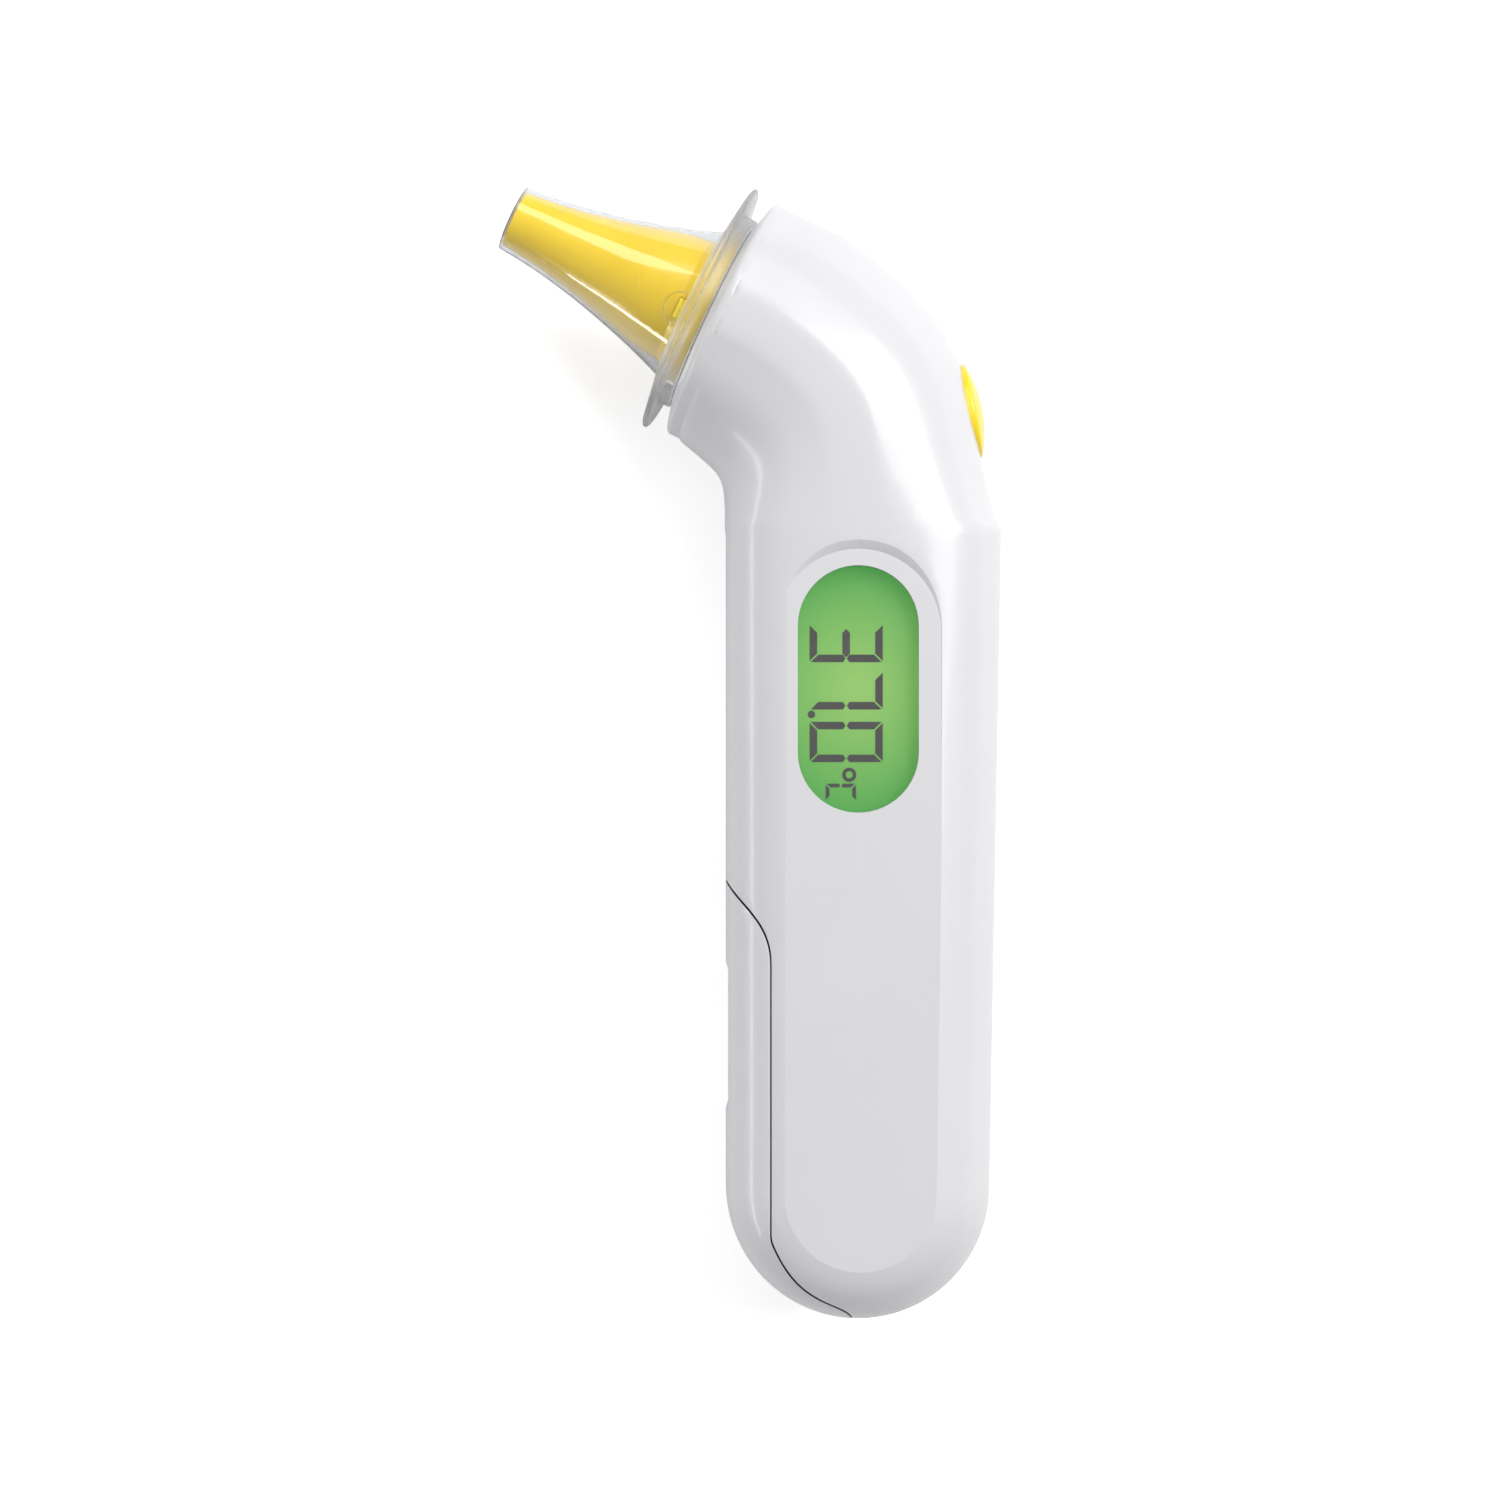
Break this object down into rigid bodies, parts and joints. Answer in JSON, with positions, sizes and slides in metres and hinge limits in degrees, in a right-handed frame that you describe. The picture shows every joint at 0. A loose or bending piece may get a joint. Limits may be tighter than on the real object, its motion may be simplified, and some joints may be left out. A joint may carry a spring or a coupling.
{
  "type": "ear thermometer",
  "caption": "Handheld infrared ear thermometer with a bent neck, tapered probe under a clear lens filter, side start button, lit display and sliding battery door.",
  "frame": {"origin": "centre of the bounding box, on the surface it lies on", "axes": "+Y up the handle, from the battery end to the head; +X across, towards the start button side; +Z out of the display"},
  "size_m": [0.0676, 0.1518, 0.0352],
  "materials": {
    "white_shell": "satin moulded white",
    "yellow_plastic": "satin moulded yellow",
    "clear_filter": "clear thin plastic",
    "clear_window": "clear glossy",
    "display_glass": "lit green display",
    "light_guide": "milky",
    "inner_plastic": "matte",
    "cell_wrap": "wrapped can",
    "plated_steel": "nickel plated",
    "grey_rubber": "matte",
    "board_laminate": "solder mask",
    "chip_plastic": "matte",
    "gilt_metal": "gold plated",
    "metal_block": "turned",
    "ribbon_film": "flexible film"
  },
  "bodies": {
    "housing": {"housing_display_side": "white_shell", "housing_back_side": "white_shell", "battery_tray": "inner_plastic", "battery_upper": "cell_wrap", "battery_lower": "cell_wrap", "contact_bridge": "plated_steel", "contact_positive": "plated_steel", "contact_negative": "plated_steel", "battery_spring_bottom": "plated_steel", "battery_spring_top": "plated_steel", "display_window": "clear_window", "lcd_glass": "display_glass", "lcd_backlight": "light_guide", "lcd_frame": "inner_plastic", "lcd_contact_strip": "grey_rubber", "backlight_leds": "light_guide", "main_board": "board_laminate", "microcontroller": "chip_plastic", "sensor_amplifier": "chip_plastic", "capacitors": "chip_plastic", "buzzer": "chip_plastic", "tact_switch": "chip_plastic", "probe_nozzle": "yellow_plastic", "nozzle_seal": "grey_rubber", "waveguide_tube": "gilt_metal", "sensor_sleeve": "metal_block", "sleeve_ring": "inner_plastic", "thermopile_sensor": "plated_steel", "sensor_plug": "inner_plastic", "sensor_ribbon": "ribbon_film", "detector_spring": "plated_steel", "housing_screws": "plated_steel", "board_screws": "plated_steel"},
    "start_button": {"start_button": "yellow_plastic", "switch_plunger": "chip_plastic"},
    "filter_detector": {"filter_detector": "yellow_plastic"},
    "lens_filter": {"lens_filter": "clear_filter", "lens_filter_film": "clear_filter"},
    "battery_door": {"battery_door": "white_shell"}
  },
  "joints": [
    {"name": "lens_filter_pull", "type": "slide", "parent": "housing", "child": "lens_filter", "axis": [-0.9003, 0.4352, 0], "range_m": [0, 0.036]},
    {"name": "battery_door_slide", "type": "slide", "parent": "housing", "child": "battery_door", "axis": [0, -1, 0], "range_m": [0, 0.06]},
    {"name": "start_button_press", "type": "slide", "parent": "housing", "child": "start_button", "axis": [-0.9553, -0.2957, 0], "range_m": [0, 0.0006], "stiffness_N_per_m": 2500},
    {"name": "filter_detector_press", "type": "slide", "parent": "housing", "child": "filter_detector", "axis": [0.1016, 0.2102, -0.9724], "range_m": [0, 0.0008], "stiffness_N_per_m": 300, "deforming": ["detector_spring"]}
  ]
}
